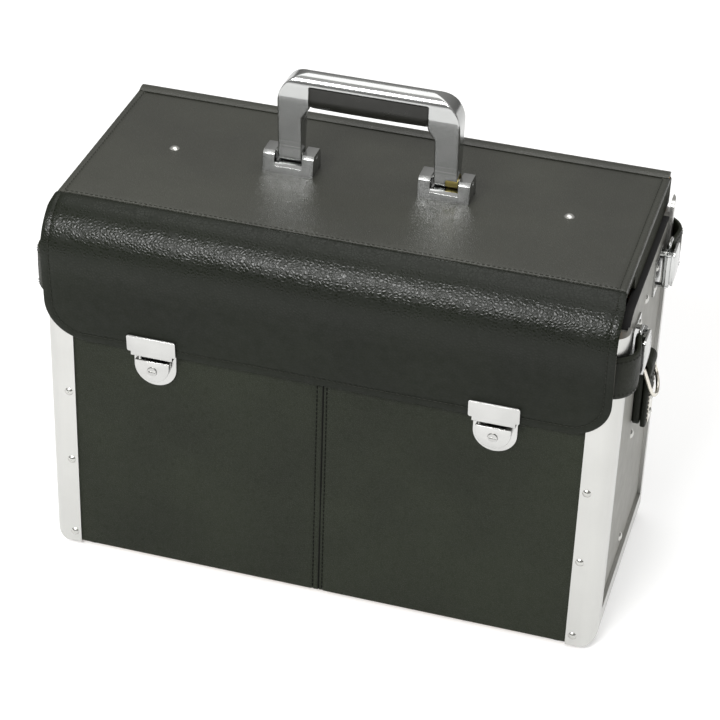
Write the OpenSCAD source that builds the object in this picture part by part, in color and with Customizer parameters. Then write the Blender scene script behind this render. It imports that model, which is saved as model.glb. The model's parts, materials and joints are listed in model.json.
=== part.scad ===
// Tool case with an aluminium frame, leather-covered walls, a lid with a hanging
// front flap, two flap locks, four corner strap latches, two D-rings and a folding handle.
// Millimetres. X runs across the case, the front faces -Y, the feet stand on z = 0.

/* [Case body] */
// Width of the case over its rails
case_w = 460; // [430:5:500]
// Depth of the case over its rails
case_d = 200; // [190:5:230]
// Height of the front and rear walls above the ground
wall_top = 300; // [280:5:330]
// Rise of the side panels above the walls
panel_rise = 2; // [1:0.5:3]
// Radius of the upper front corner of each side panel
panel_corner_r = 30; // [15:1:36]
// Thickness of the wall, base and lid boards
board_t = 6; // [5:0.5:7]
// Thickness of the side panels
panel_t = 6; // [5:0.5:7]
// Thickness of the leather skins
skin_t = 1; // [0.8:0.1:1.3]
// Height of the feet
foot_h = 3; // [2:0.5:5]
// Radius of the feet
foot_r = 14; // [10:0.5:15]
// Height of the divider's top edge above the ground
divider_top = 270; // [150:5:280]
// Thickness of the divider board
divider_t = 6; // [4:0.5:8]

/* [Rails] */
// Width of a corner rail on the front and rear walls
rail_face = 24; // [22:1:30]
// Width of a corner rail on the side panels
rail_side = 20; // [18:1:26]
// Height of a bottom rail on the side panels
rail_low = 27; // [22:1:32]
// Outer corner radius of the rails
rail_r = 13; // [11:0.5:14]
// Thickness of the rail flange on the walls
rail_t = 1.5; // [1.2:0.1:2]
// Thickness of the rail flange on the side panels
rail_step = 3; // [2:0.25:4]
// Thickness of the inner rail lips
lip_t = 1.5; // [1:0.1:2]
// Height of the rear rails' upper ends above the walls
rail_horn = 14; // [6:0.5:15]
// Distance of the front rails' upper ends below the walls
rail_short = 4; // [0:0.5:5]

/* [Lid and flap] */
// Width of the lid
lid_w = 446; // [416:2:448]
// Gap between the side panels and the lid
lid_gap = 1; // [0.6:0.1:2]
// Depth of the lid's side skirts below its board
skirt_h = 17; // [12:0.5:24]
// Distance of the lid board's front edge behind the rails' front face
lid_setback = 15; // [12:0.5:20]
// Distance from the lid board's front edge to the flap's seam on the lid
seam_inset = 5; // [4:0.5:8]
// Distance from the lid's front edge to the skirts' front end
skirt_inset = 40; // [30:1:60]
// Radius of the skirts' lower front corner
skirt_r = 12; // [6:0.5:14]
// Width of the flap
flap_w = 450; // [420:2:450]
// Thickness of the flap leather
flap_t = 2.2; // [1.8:0.1:2.6]
// Outer radius of the flap's roll
flap_r = 40; // [36:0.5:42]
// Distance of the flap's foremost line before the rails
flap_proud = 13.2; // [12:0.2:15]
// Length of the straight part of the flap
flap_drop = 73; // [66:1:84]
// Angle by which the flap leans back to the wall
flap_lean = 5; // [4:0.5:6]
// Radius of the flap's lower corners
flap_corner_r = 33; // [20:1:40]
// Height of the stiffener in the flap
stiffener_h = 50; // [30:1:56]
// Thickness of the stiffener
stiffener_t = 1.3; // [1:0.1:1.6]

/* [Locks] */
// Distance between the two locks
lock_spacing = 274; // [220:2:300]
// Width of a lock's base plate
lock_w = 34.7; // [30:0.5:38]
// Height of a lock's base plate
lock_h = 35; // [33:0.5:37]
// Width of the press button
button_w = 28; // [26:0.5:29]
// Projection of the press button from the wall
button_proud = 9.8; // [9.6:0.2:12]
// Travel of the press button
button_travel = 2.5; // [1.5:0.1:2.6]
// Radius of the key barrel
barrel_r = 3.75; // [3:0.05:4.2]
// Width of a hasp plate
hasp_w = 40; // [36:1:44]
// Height of a hasp plate
hasp_h = 15; // [12:0.5:18]

/* [Corner straps and latches] */
// Width of a corner strap
strap_w = 36; // [32:1:40]
// Thickness of a corner strap
strap_t = 3.5; // [3:0.1:4]
// Radius of the strap's middle line round the corner
strap_r = 20; // [18:0.5:21]
// Distance of the rear straps' middle below the walls' top
strap_drop = 27; // [26:1:50]
// Distance of the front straps below the rear ones
strap_step = 10; // [0:1:14]
// Length of the strap flat on the wall
strap_tail = 38; // [30:1:44]
// Distance from the rails' front face to the latch pivot
latch_inset = 53; // [50:1:60]
// Length of a latch lever from its pivot to its tip
lever_len = 22; // [20:1:28]
// Height of a latch lever
lever_h = 30; // [28:1:34]
// Thickness of the lever plate
lever_t = 1.6; // [1.2:0.1:2]
// Radius of the lever plate's bulge
lever_bow = 90; // [80:5:140]
// Radius of the wire of the latch loops
wire_r = 1.4; // [1.2:0.1:1.6]

/* [Ring tabs] */
// Width of a ring tab
tab_w = 23; // [18:1:26]
// Height of the ring's bar above the ground
ring_z = 217.6; // [190:1:225]
// Length of the folded tab below the bar
tab_drop = 55; // [45:1:65]
// Thickness of the leather pad under the tab
pad_t = 6.8; // [5:0.2:8]
// Thickness of the tab's outer layer
tab_t = 4.8; // [3:0.2:5.4]
// Radius of the ring's wire
ring_wire_r = 1.6; // [1.3:0.1:1.8]
// Length of the ring below its bar
ring_drop = 29.5; // [26:0.5:33]
// Angle at which the ring hangs off the panel
ring_tilt = 20; // [19:0.5:26]

/* [Handle] */
// Width of the handle
handle_w = 145; // [120:1:170]
// Height of the handle's top above the lid
handle_h = 87.5; // [75:0.5:95]
// Depth of the handle's bar
handle_d = 19; // [17:0.5:20]
// Width of the handle's legs
leg_w = 19.6; // [16:0.2:20]
// Height of the chrome half of the bar
bar_h = 9.5; // [8.5:0.5:10]
// Height of the black half of the bar
grip_h = 19; // [14:0.5:22]
// Outer corner radius of the handle
handle_corner_r = 25; // [15:1:30]
// Distance of the handle behind the middle of the lid
handle_offset = 3; // [-10:1:10]
// Width of a handle bracket
bracket_w = 41; // [38:0.5:46]
// Depth of a handle bracket at its base
bracket_d = 22; // [21:0.5:26]
// Height of a handle bracket
bracket_h = 18; // [17:0.5:22]
// Height of the slot's floor in a bracket
slot_floor = 8; // [7:0.5:10]
// Radius of the handle's feet round their pins
leg_foot_r = 5.8; // [5:0.1:6]
// Radius of the handle's pins
pin_r = 2; // [1.5:0.1:2.5]

/* [Rivets] */
// Radius of the rivet heads on the rails
rivet_r = 3.5; // [3:0.1:4]
// Radius of the rivet shanks
shank_r = 1.6; // [1.2:0.1:2]
// Height of the lowest rivet above the rails' lower end
rivet_low = 10; // [8:0.5:16]
// Distance between the two lowest rivets of a rail
rivet_first = 74; // [60:1:76]
// Distance between the other rivets of a rail
rivet_pitch = 67; // [55:1:68]
// Distance of the rivets from the rail's edge on the wall
rivet_edge = 5.5; // [5:0.5:7]
// Distance between the two rivets on the lid
lid_rivet_spacing = 320; // [240:5:360]

/* [Hidden] */
$fn = 48;
eps = 0.01;
fit = 0.3;                                   // clearance at the ends of boards and panels
pin_fit = 0.05;                              // radial clearance of a turning pin
hole_fit = 0.02;                             // radial clearance of a fixed rivet or pin
far = 1000;                                  // larger than anything that is cut

half_w = case_w / 2;
half_d = case_d / 2;
rail_base = foot_h;                          // lower end of the rails
skin_y = half_d - rail_t;                    // outer face of the wall skins
board_y = skin_y - skin_t;                   // outer face of the wall boards
wall_in = board_y - board_t;                 // inner face of the wall boards
panel_x = half_w - rail_step;                // outer face of the side panels
panel_in = panel_x - panel_t;                // inner face of the side panels
core_x = half_w - rail_r;                    // the rails' solid corner starts here
core_y = half_d - rail_r;
floor_z = rail_base + rail_t;                // underside of the base board
floor_top = floor_z + board_t;
panel_top = wall_top + panel_rise;
panel_bottom = rail_base + rail_r + fit;

lid_bottom = panel_top + lid_gap;            // lower edge of the skirts
lid_under = lid_bottom + skirt_h;            // underside of the lid board
lid_board_top = lid_under + board_t;
lid_top = lid_board_top + skin_t;
lid_half = lid_w / 2;
lid_front = -(half_d - lid_setback);
lid_edge_r = 3;                              // rounding of the lid's upper side edges
seam_y = lid_front + seam_inset;             // seam of the flap on the lid

leaf_t = 1;                                  // thickness of the hinge leaves
knuckle_r = 2.2;
hinge_pin_r = 1.1;
knuckle_count = 9;
knuckle_gap = 0.4;
hinge_half = half_w - rail_face - 2;
hinge_z = (wall_top + lid_bottom) / 2;       // the hinge's pin
hinge_back = half_d + 1;                     // the lid's rear face
hinge_y = hinge_back + knuckle_r + fit;
leaf_w = 9;

roll_y = -(half_d + flap_proud) + flap_r;    // middle of the flap's roll
roll_z = lid_top - flap_r;
flap_start = acos((seam_y - roll_y) / (flap_r - flap_t)) - 6;
flap_end = 180 + flap_lean;
flap_low = roll_z - flap_r * sin(flap_lean) - flap_drop * cos(flap_lean);
function flap_face(z) = roll_y - flap_r * cos(flap_lean)
    + (roll_z - flap_r * sin(flap_lean) - z) * tan(flap_lean);

plate_t = 2;                                 // thickness of a lock's base plate
plate_y = -(skin_y + plate_t);               // front face of the base plates
lock_x = lock_spacing / 2;
lock_top = flap_low + 1.6;
lock_mid = lock_top - lock_h + lock_w / 2;   // centre of the base plate's round end
button_wall = 1.4;
button_front = -(skin_y + button_proud);
button_back = plate_y - button_travel - 0.05;
button_top = lock_top - 8.6;
button_mid = lock_mid + 4.5;                 // centre of the button's round end
boss_fit = 0.4;                              // clearance round the button's guide boss
boss_front = button_front + button_wall + button_travel + fit;
barrel_z = button_mid - 4.6;
barrel_back = button_front + 2.6;
barrel_proud = 0.6;
hasp_t = 2.4;
hasp_step_w = 34;
hasp_low = flap_low - 3.2;
tongue_w = 22;
tongue_t = 1.2;
tongue_back = plate_y - 0.8;
tongue_low = button_top - 3.5;

strap_z = wall_top - strap_drop;             // middle of the rear straps
strap_y = half_d + strap_t / 2 + 0.15;       // middle of the strap on the wall
strap_cx = half_w - rail_r - 0.4;            // middle of the strap's bend
strap_cy = strap_y - strap_r;
strap_toe = 10;                              // the strap runs back to the panel at this angle
pivot_x = panel_x + 7;
pivot_y = half_d - latch_inset;
loop_y = pivot_y + 15.5;                     // the loop's rod in the strap's end
strap_run = (strap_cy - strap_r * sin(strap_toe) - loop_y) / cos(strap_toe);
loop_x = strap_cx + strap_r * cos(strap_toe) - strap_run * sin(strap_toe);
loop_in_y = pivot_y + 7;                     // the loop's rod at the lever
loop_half = strap_w / 2 + wire_r + fit;
fold_r = 3.2;
latch_t = 1.5;
latch_pin_r = 1.5;
ear_r = 3;
ear_neck = 2.2;
hub_r = 3;
cheek_half = 13;
cheek_t = 1.4;
ear_t = 1.5;
ear_gap = 0.4;
lever_x = pivot_x + hub_r + 1.9;             // inner face of the lever plate
latch_half = cheek_half + ear_gap + ear_t + 1.1;
latch_tail = 19;                             // length of the latch base behind the pivot

roll_r = 5.9;                                // roll of the tab round the ring's bar
bar_x = panel_x + roll_r + fit;
tab_in = panel_x + pad_t;
tab_out = tab_in + tab_t;
tab_low = ring_z - tab_drop;
plate_thick = 1;
ring_half = tab_w / 2 + ring_wire_r + fit;   // half the width of the ring

pivot_z = lid_top + slot_floor + leg_foot_r + 0.4;
handle_y = (lid_front + hinge_back) / 2 + handle_offset;
leg_x = (handle_w - leg_w) / 2;
handle_top = lid_top + handle_h;
bar_z = handle_top - bar_h;
grip_z = bar_z - grip_h;
grip_half = handle_w / 2 - 25.5;
slot_w = leg_w + 2.8;
bush_w = leg_w / 2;

rivet_x = half_w - rail_face + rivet_edge;
rivet_z = [rail_base + rivet_low,
    for (i = [0 : 2]) rail_base + rivet_low + rivet_first + i * rivet_pitch];
side_rivet_z = [0.143 * wall_top, 0.487 * wall_top, 0.91 * wall_top];
side_rivet_r = 4;
channel_t = 1.5;
channel_depth = 10;
channel_half = 8;
channel_top = panel_top - 12;
latch_rivet_y = pivot_y - 14;
latch_rivet_dz = 9;
tab_rivet_z = [tab_low + 9, tab_low + 23];
strap_rivet_x = strap_cx - strap_tail + 7;
strap_rivet_dz = 10;
small_rivet_r = 3;
lock_stud_z = [lock_mid - 9, lock_mid + 7];
stud_r = 1.5;

leather = [0.20, 0.21, 0.19];
aluminium = [0.84, 0.84, 0.83];
laminate = [0.60, 0.60, 0.58];
chrome = [0.78, 0.79, 0.80];
steel = [0.66, 0.67, 0.68];
brass = [0.60, 0.55, 0.22];
wood = [0.55, 0.42, 0.28];
plastic = [0.12, 0.12, 0.11];

// Helpers

module block(low, high) { translate(low) cube(high - low); }

module mirror_x(side) { mirror([side < 0 ? 1 : 0, 0, 0]) children(); }

// Pieces are drawn at the rear right and mirrored to the other corners
module to_front(front) { mirror([0, front ? 1 : 0, 0]) children(); }

module corners() {
    for (side = [-1, 1], front = [false, true]) mirror_x(side) to_front(front) children();
}

// The front straps and latches sit lower than the rear ones
module strap_place(front) { translate([0, 0, front ? -strap_step : 0]) to_front(front) children(); }

module strap_corners() {
    for (side = [-1, 1], front = [false, true]) mirror_x(side) strap_place(front) children();
}

// An outline in Y and Z, extruded along X
module along_x(x0, x1) { translate([x0, 0, 0]) rotate([90, 0, 90]) linear_extrude(x1 - x0) children(); }

// An outline in X and Z, extruded along Y
module along_y(y0, y1) { translate([0, y1, 0]) rotate([90, 0, 0]) linear_extrude(y1 - y0) children(); }

module rod_x(x0, x1, y, z, r) { translate([x0, y, z]) rotate([0, 90, 0]) cylinder(h = x1 - x0, r = r); }

module rod_y(y0, y1, x, z, r) { translate([x, y1, z]) rotate([90, 0, 0]) cylinder(h = y1 - y0, r = r); }

module rod_z(z0, z1, x, y, r) { translate([x, y, z0]) cylinder(h = z1 - z0, r = r); }

module rounded(low, high, r) {
    translate([low[0], low[1] + r]) square([high[0] - low[0], high[1] - low[1] - 2 * r]);
    translate([low[0] + r, low[1]]) square([high[0] - low[0] - 2 * r, high[1] - low[1]]);
    for (x = [low[0] + r, high[0] - r], y = [low[1] + r, high[1] - r]) translate([x, y]) circle(r);
}

function polar(r, a) = [r * cos(a), r * sin(a)];

// A band of a ring from angle a0 to a1, less than 180 degrees
module arc_band(r, t, a0, a1) {
    middle = (a0 + a1) / 2;
    intersection() {
        difference() {
            circle(r, $fn = 96);
            circle(r - t, $fn = 96);
        }
        polygon([[0, 0], polar(2 * r, a0), polar(2 * r / cos((a1 - a0) / 2), middle), polar(2 * r, a1)]);
    }
}

// A rivet along +Z: a dome on the surface, a shank through the grip and a small tail
module rivet(r, grip) {
    h = 0.5 * r;
    ball = (r * r + h * h) / (2 * h);
    intersection() {
        translate([0, 0, h - ball]) sphere(ball);
        cylinder(h = h, r = r);
    }
    translate([0, 0, -grip]) cylinder(h = grip + eps, r = shank_r);
    translate([0, 0, -grip - 1]) cylinder(h = 1, r = shank_r + 0.8);
}

// The case seen from above, with its rounded corners, in the rear right quarter
module plan_quarter() {
    square([half_w, half_d - rail_r]);
    square([half_w - rail_r, half_d]);
    translate([half_w - rail_r, half_d - rail_r]) circle(rail_r);
}

// The case seen from the front, with its rounded lower edge, in the right half
module front_half() {
    translate([0, rail_base + rail_r]) square([half_w, far]);
    translate([0, rail_base]) square([half_w - rail_r, far]);
    translate([half_w - rail_r, rail_base + rail_r]) circle(rail_r);
}

// Frame

module rail_flanges() {
    intersection() {
        union() {
            translate([half_w - rail_face, skin_y]) square([rail_face, rail_t]);
            translate([panel_x, half_d - rail_side]) square([rail_step, rail_side]);
            translate([core_x, core_y]) square([rail_r, rail_r]);
        }
        plan_quarter();
    }
}

module rail_lips() {
    translate([half_w - rail_face, wall_in - lip_t]) square([panel_in - half_w + rail_face, lip_t]);
    translate([panel_in - lip_t, half_d - rail_side]) square([lip_t, wall_in - half_d + rail_side]);
}

module corner_rail(front) {
    top = wall_top - (front ? rail_short : 0);
    color(aluminium) to_front(front) difference() {
        union() {
            intersection() {
                translate([0, 0, rail_base]) linear_extrude(top - rail_base) rail_flanges();
                along_y(0, far) front_half();
            }
            translate([0, 0, floor_top + fit]) linear_extrude(top - floor_top - fit) rail_lips();
            if (!front) rail_upper_end();
        }
        rail_rivet_holes();
    }
}

// The rear rails guard the lid's rear corners with a raised end beside them
module rail_upper_end() {
    intersection() {
        translate([0, 0, wall_top - eps]) linear_extrude(rail_horn + eps) intersection() {
            translate([panel_x, half_d - rail_side]) square([rail_step, rail_side]);
            plan_quarter();
        }
        along_x(0, far) rounded([half_d - rail_side, wall_top - rail_horn],
            [half_d, wall_top + rail_horn], 6);
    }
}

module bottom_rail() {
    end = half_d - rail_side - fit;
    color(aluminium) along_y(-end, end) {
        intersection() {
            union() {
                translate([half_w - rail_face, rail_base]) square([rail_face, rail_t]);
                translate([panel_x, rail_base]) square([rail_step, rail_low]);
                translate([core_x, rail_base]) square([rail_r, rail_r]);
            }
            front_half();
        }
        translate([panel_in - lip_t, rail_base + rail_r - eps]) square([lip_t, rail_low - rail_r + eps]);
    }
}

// Walls, panels and base

module base_board() {
    color(wood) difference() {
        block([-core_x + fit, -wall_in, floor_z], [core_x - fit, wall_in, floor_top]);
        corners() foot_shank(hole_fit);
    }
}

module foot_shank(grow) {
    rod_z(floor_z - eps, floor_top + eps, half_w - rail_face - 8, half_d - 20, 3 + grow);
}

module corner_feet() {
    color(plastic) corners() {
        rod_z(0, foot_h, half_w - rail_face - 8, half_d - 20, foot_r);
        rod_z(0, floor_z, half_w - rail_face - 8, half_d - 20, 7.5);
        rod_z(0, floor_top, half_w - rail_face - 8, half_d - 20, 3);
    }
}

module wall_board(front) {
    color(wood) to_front(front) difference() {
        block([-core_x + fit, wall_in, floor_z], [core_x - fit, board_y, wall_top]);
        for (side = [-1, 1]) mirror_x(side) {
            rail_rivet_holes();
            translate([0, 0, front ? -strap_step : 0]) strap_rivet_holes();
            if (front) lock_stud_holes();
        }
    }
}

module front_cover() {
    color(leather) to_front(true) difference() {
        block([0, board_y, rail_base + 1], [core_x - fit, skin_y, wall_top]);
        rail_rivet_holes();
        translate([0, 0, -strap_step]) strap_rivet_holes();
        lock_stud_holes();
    }
}

module rear_cover() {
    color(leather) difference() {
        block([-core_x + fit, board_y, rail_base + 1], [core_x - fit, skin_y, wall_top]);
        for (side = [-1, 1]) mirror_x(side) {
            rail_rivet_holes();
            strap_rivet_holes();
        }
    }
}

module side_panel() {
    color(laminate) difference() {
        along_x(panel_in, panel_x) difference() {
            translate([-core_y + fit, panel_bottom])
                square([2 * (core_y - fit), panel_top - panel_bottom]);
            translate([-core_y + fit, panel_top - panel_corner_r]) difference() {
                square([panel_corner_r, panel_corner_r + 1]);
                translate([panel_corner_r, 0]) circle(panel_corner_r, $fn = 96);
            }
        }
        side_rivet_holes();
        tab_rivet_holes();
        for (front = [false, true]) strap_place(front) latch_rivet_holes();
    }
}

module divider_channels() {
    bottom = rail_base + rail_low + eps;
    color(aluminium) for (side = [-1, 1]) mirror_x(side) difference() {
        union() {
            block([panel_in - channel_t, -channel_half, bottom], [panel_in, channel_half, channel_top]);
            for (s = [0, 1]) mirror([0, s, 0])
                block([panel_in - channel_t - channel_depth, divider_t / 2 + fit / 2, bottom],
                    [panel_in - channel_t + eps, divider_t / 2 + fit / 2 + channel_t, channel_top]);
        }
        side_rivet_holes();
        tab_rivet_holes();
    }
}

module divider_board() {
    half = core_x - fit;
    color(wood) block([-half, -divider_t / 2, floor_top], [half, divider_t / 2, divider_top]);
}

// Rivets and the holes they pass through

module at_rail_rivets() {
    for (z = rivet_z) if (z < wall_top - rivet_r) translate([rivet_x, half_d, z]) rotate([-90, 0, 0]) children();
}

module rail_rivet_holes() {
    at_rail_rivets() translate([0, 0, -half_d + wall_in - lip_t - 1])
        cylinder(h = half_d - wall_in + lip_t + 2, r = shank_r + hole_fit);
}

module at_side_rivets() {
    for (z = side_rivet_z) translate([panel_x, 0, z]) rotate([0, 90, 0]) children();
}

module side_rivet_holes() {
    at_side_rivets() translate([0, 0, -panel_t - channel_t - 1])
        cylinder(h = panel_t + channel_t + 2, r = shank_r + hole_fit);
}

module case_rivets() {
    color(steel) {
        corners() at_rail_rivets() rivet(rivet_r, half_d - wall_in + lip_t);
        for (side = [-1, 1]) mirror_x(side) at_side_rivets()
            rivet(side_rivet_r, panel_t + channel_t);
    }
}

module at_latch_rivets() {
    for (s = [-1, 1]) translate([panel_x + latch_t, latch_rivet_y, strap_z + s * latch_rivet_dz])
        rotate([0, 90, 0]) children();
}

module at_tab_rivets() {
    for (z = tab_rivet_z) translate([tab_out + plate_thick, 0, z]) rotate([0, 90, 0]) children();
}

module at_strap_rivets() {
    for (s = [-1, 1]) translate([strap_rivet_x, skin_y + strap_t, strap_z + s * strap_rivet_dz])
        rotate([-90, 0, 0]) children();
}

module strap_rivet_holes() {
    at_strap_rivets() translate([0, 0, -30]) cylinder(h = 31, r = shank_r + hole_fit);
}

module tab_rivet_holes() {
    at_tab_rivets() translate([0, 0, -30]) cylinder(h = 31, r = shank_r + hole_fit);
}

module latch_rivet_holes() {
    at_latch_rivets() translate([0, 0, -30]) cylinder(h = 31, r = shank_r + hole_fit);
}

module fitting_rivets() {
    color(steel) {
        strap_corners() {
            at_latch_rivets() rivet(small_rivet_r, latch_t + panel_t);
            at_strap_rivets() rivet(small_rivet_r, skin_y + strap_t - wall_in);
        }
        for (side = [-1, 1]) mirror_x(side) at_tab_rivets()
            rivet(small_rivet_r, plate_thick + tab_t + pad_t + panel_t + channel_t);
    }
}

// Corner straps and latches, drawn at the rear right

// One side of the strap seen from above: flat on the wall, over the rail's edge, round
// the corner and back to the panel, at a distance from the strap's middle line
function strap_side(out) = let(edge = half_w - rail_face) concat(
    [[strap_cx - strap_tail, skin_y + strap_t / 2 + out],
     [edge - 8.5 - out / 4, skin_y + strap_t / 2 + out],
     [edge - 1 - out / 4, strap_y + out]],
    [for (i = [0 : 14]) [strap_cx, strap_cy] + polar(strap_r + out, 90 - i * (90 + strap_toe) / 14)],
    [[loop_x, loop_y] + polar(out, -strap_toe)]);

function backwards(list) = [for (i = [len(list) - 1 : -1 : 0]) list[i]];

module strap() {
    color(leather) difference() {
        translate([0, 0, strap_z - strap_w / 2]) linear_extrude(strap_w) {
            polygon(concat(strap_side(-strap_t / 2), backwards(strap_side(strap_t / 2))));
            translate([loop_x, loop_y]) circle(fold_r);
        }
        rod_z(0, far, loop_x, loop_y, wire_r + hole_fit);
        strap_rivet_holes();
    }
}

module latch_bases() {
    color(chrome) strap_corners() difference() {
        union() {
            along_x(panel_x, panel_x + latch_t)
                rounded([pivot_y - latch_tail, strap_z - latch_half],
                    [pivot_y + 12, strap_z + latch_half], 2);
            for (s = [-1, 1]) translate([0, 0, strap_z + s * (cheek_half + ear_gap + ear_t / 2) - ear_t / 2])
                linear_extrude(ear_t) {
                    translate([pivot_x, pivot_y]) circle(ear_r);
                    translate([panel_x + 1, pivot_y - ear_neck]) square([pivot_x - panel_x - 1, 2 * ear_neck]);
                }
        }
        rod_z(0, far, pivot_x, pivot_y, latch_pin_r + hole_fit);
        latch_rivet_holes();
    }
}

module latch_pins() {
    end = cheek_half + ear_gap + ear_t + 0.3;
    color(steel) strap_corners() rod_z(strap_z - end, strap_z + end, pivot_x, pivot_y, latch_pin_r);
}

module latch_loops() {
    color(chrome) strap_corners() {
        for (y = [loop_in_y, loop_y]) rod_z(strap_z - loop_half, strap_z + loop_half, loop_x, y, wire_r);
        for (z = [strap_z - loop_half, strap_z + loop_half]) {
            rod_y(loop_in_y, loop_y, loop_x, z, wire_r);
            for (y = [loop_in_y, loop_y]) translate([loop_x, y, z]) sphere(wire_r + 0.12);
        }
    }
}

// The bowed lever plate's outer outline from its end, filled in
module lever_section(r) {
    intersection() {
        translate([lever_x - lever_bow, strap_z]) circle(r, $fn = 180);
        translate([pivot_x - 10, strap_z - lever_h / 2]) square([30, lever_h]);
    }
}

module lever_plate() {
    end = pivot_y + lever_len;
    intersection() {
        union() {
            along_y(pivot_y, end) difference() {
                lever_section(lever_bow + lever_t);
                translate([lever_x - lever_bow, strap_z]) circle(lever_bow, $fn = 180);
            }
            along_y(end - 1.2, end) difference() {
                lever_section(lever_bow + lever_t / 2);
                translate([0, strap_z - lever_h]) square([lever_x - 1.9, 2 * lever_h]);
            }
        }
        along_x(pivot_x, far) rounded([pivot_y, strap_z - lever_h / 2], [end, strap_z + lever_h / 2], 3);
    }
}

// The hub and the cheeks that take the loop, inside the plate
module lever_hub() {
    intersection() {
        along_y(pivot_y - hub_r - 1, loop_in_y + 5) lever_section(lever_bow + lever_t / 2);
        union() {
            translate([0, 0, strap_z - cheek_half]) linear_extrude(2 * cheek_half) {
                translate([pivot_x, pivot_y]) circle(hub_r);
                translate([pivot_x, pivot_y]) square([10, 3]);
            }
            for (s = [-1, 1]) translate([0, 0, strap_z + s * (cheek_half - cheek_t / 2) - cheek_t / 2])
                linear_extrude(cheek_t) translate([pivot_x - 2.6, pivot_y])
                    square([12, loop_in_y - pivot_y + 4]);
        }
    }
}

module latch_lever() {
    notch_r = wire_r + 0.8;
    color(chrome) difference() {
        union() {
            lever_plate();
            lever_hub();
        }
        translate([0, 0, strap_z - cheek_half - 1]) linear_extrude(2 * cheek_half + 2) {
            translate([loop_x, loop_in_y]) circle(notch_r);
            translate([loop_x - 5, loop_in_y - notch_r]) square([5, 2 * notch_r]);
        }
        rod_z(0, far, pivot_x, pivot_y, latch_pin_r + pin_fit);
    }
}

// Ring tabs, drawn on the right

module ring_pads() {
    color(leather) for (side = [-1, 1]) mirror_x(side) difference() {
        along_x(panel_x, tab_in) rounded([-tab_w / 2, tab_low + 3], [tab_w / 2, ring_z - roll_r - 0.8], 3);
        tab_rivet_holes();
    }
}

module ring_tab() {
    color(leather) difference() {
        along_y(-tab_w / 2, tab_w / 2) {
            translate([bar_x, ring_z]) circle(roll_r);
            polygon([[tab_in, tab_low], [tab_out, tab_low], [tab_out, ring_z - roll_r],
                [bar_x + roll_r, ring_z], [tab_in, ring_z]]);
        }
        rod_y(-tab_w, tab_w, bar_x, ring_z, ring_wire_r + pin_fit);
        tab_rivet_holes();
    }
}

module ring_plates() {
    color(steel) for (side = [-1, 1]) mirror_x(side) difference() {
        along_x(tab_out, tab_out + plate_thick)
            rounded([-tab_w / 2 + 3, tab_low + 2], [tab_w / 2 - 3, tab_low + 30], 3);
        tab_rivet_holes();
    }
}

module d_ring() {
    straight = ring_drop - ring_half;
    color(steel) translate([bar_x, 0, ring_z]) rotate([0, -ring_tilt, 0]) {
        rod_y(-ring_half, ring_half, 0, 0, ring_wire_r);
        for (s = [-1, 1]) {
            rod_z(-straight, 0, 0, s * ring_half, ring_wire_r);
            translate([0, s * ring_half, 0]) sphere(ring_wire_r);
        }
        translate([0, 0, -straight]) rotate([90, 180, 90]) rotate_extrude(angle = 180)
            translate([ring_half, 0]) circle(ring_wire_r);
    }
}

// Locks, drawn at the front right

module u_shape(w, mid, top) {
    difference() {
        union() {
            translate([lock_x, mid]) circle(w / 2);
            translate([lock_x - w / 2, mid]) square([w, w]);
        }
        translate([lock_x - w, top]) square(2 * w);
    }
}

module lock_stud_holes() {
    for (z = lock_stud_z) rod_y(wall_in - 1, skin_y + 1, lock_x, z, stud_r + hole_fit);
}

module lock_base() {
    color(chrome) difference() {
        union() {
            along_y(plate_y, -skin_y) u_shape(lock_w, lock_mid, lock_top);
            along_y(boss_front, plate_y)
                u_shape(button_w - 2 * button_wall - 2 * boss_fit, button_mid, tongue_low - 1.5);
            for (z = lock_stud_z) rod_y(-skin_y - eps, -wall_in, lock_x, z, stud_r);
        }
        rod_y(-far, plate_y - 0.5, lock_x, barrel_z, barrel_r + 1.7);
    }
}

module lock_button() {
    color(chrome) difference() {
        along_y(button_front, button_back) u_shape(button_w, button_mid, button_top);
        along_y(button_front + button_wall, 0) {
            u_shape(button_w - 2 * button_wall, button_mid, button_top + 1);
        }
        rod_y(-far, 0, lock_x, barrel_z, barrel_r + pin_fit);
    }
}

module lock_barrel() {
    color(steel) difference() {
        union() {
            rod_y(button_front - barrel_proud, barrel_back, lock_x, barrel_z, barrel_r);
            rod_y(button_front + button_wall + 0.1, barrel_back, lock_x, barrel_z, barrel_r + 0.9);
        }
        block([lock_x - barrel_r + 1, button_front - barrel_proud - 1, barrel_z - 0.5],
            [lock_x + barrel_r - 1, button_front + 0.4, barrel_z + 0.5]);
    }
}

module hasp_profile() {
    top = hasp_low + hasp_h + 3.8;
    polygon([[flap_face(top), top], [flap_face(flap_low), flap_low], [tongue_back, flap_low],
        [tongue_back, tongue_low], [tongue_back - tongue_t, tongue_low],
        [tongue_back - tongue_t, hasp_low], [flap_face(flap_low) - hasp_t + 0.4, hasp_low],
        [flap_face(flap_low) - hasp_t, hasp_low + 0.8], [flap_face(flap_low) - hasp_t, flap_low],
        [flap_face(top) - hasp_t, top - 0.6], [flap_face(top) - hasp_t + 0.6, top]]);
}

module hasp_front() {
    top = hasp_low + hasp_h + 3.8;
    rounded([lock_x - hasp_w / 2, hasp_low + 3.8], [lock_x + hasp_w / 2, top], 1.6);
    translate([lock_x - hasp_step_w / 2, hasp_low]) square([hasp_step_w, 6]);
    translate([lock_x - tongue_w / 2, tongue_low]) square([tongue_w, 8]);
}

module hasp_studs(grow) {
    for (s = [-1, 1]) rod_y(flap_face(flap_low + 9) - 0.5, flap_face(flap_low + 9) + 5,
        lock_x + s * 13, flap_low + 9, stud_r + grow);
}

module hasps() {
    color(chrome) for (side = [-1, 1]) mirror_x(side) {
        intersection() {
            along_x(0, far) hasp_profile();
            along_y(-far, 0) hasp_front();
        }
        hasp_studs(0);
    }
}

// Lid and flap

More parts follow.
